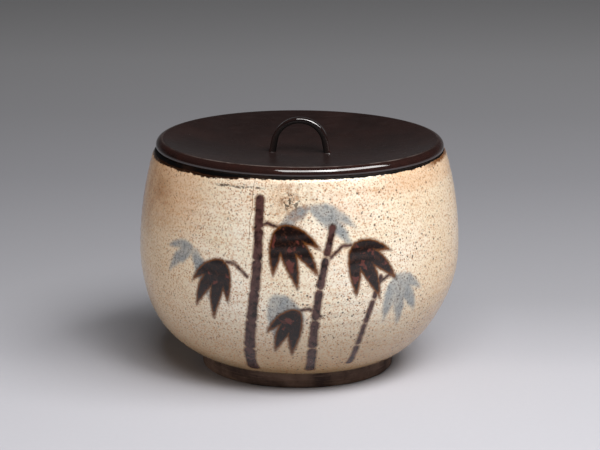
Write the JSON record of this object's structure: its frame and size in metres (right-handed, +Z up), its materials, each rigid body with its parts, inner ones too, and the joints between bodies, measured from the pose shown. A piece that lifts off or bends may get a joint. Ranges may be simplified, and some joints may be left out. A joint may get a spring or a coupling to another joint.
{
  "type": "mizusashi water jar",
  "caption": "Round glazed stoneware water jar on a bare turned foot ring, with a scooped lacquered wooden lid that lifts off by a bow handle.",
  "frame": {"origin": "centre of the foot ring on the surface that the jar stands on", "axes": "+Z up along the jar's axis, -Y towards the front as pictured, +X to the right; the bow handle stands 4.5 degrees off +X"},
  "size_m": [0.19, 0.19, 0.1492],
  "materials": {
    "stoneware": "bare fired clay, matte",
    "outer_glaze": "speckled cream glaze, satin gloss",
    "inner_glaze": "cream glaze, satin gloss",
    "lid_lacquer": "dark brown-black lacquer, glossy",
    "handle_lacquer": "dark brown-black lacquer, glossy"
  },
  "bodies": {
    "jar": {"stoneware_body": "stoneware", "outer_glaze": "outer_glaze", "inner_glaze": "inner_glaze"},
    "lid": {"lid_board": "lid_lacquer", "handle_bow": "handle_lacquer"}
  },
  "joints": [
    {"name": "lid_lift", "type": "slide", "parent": "jar", "child": "lid", "axis": [0, 0, 1], "range_m": [0, 0.1]}
  ]
}
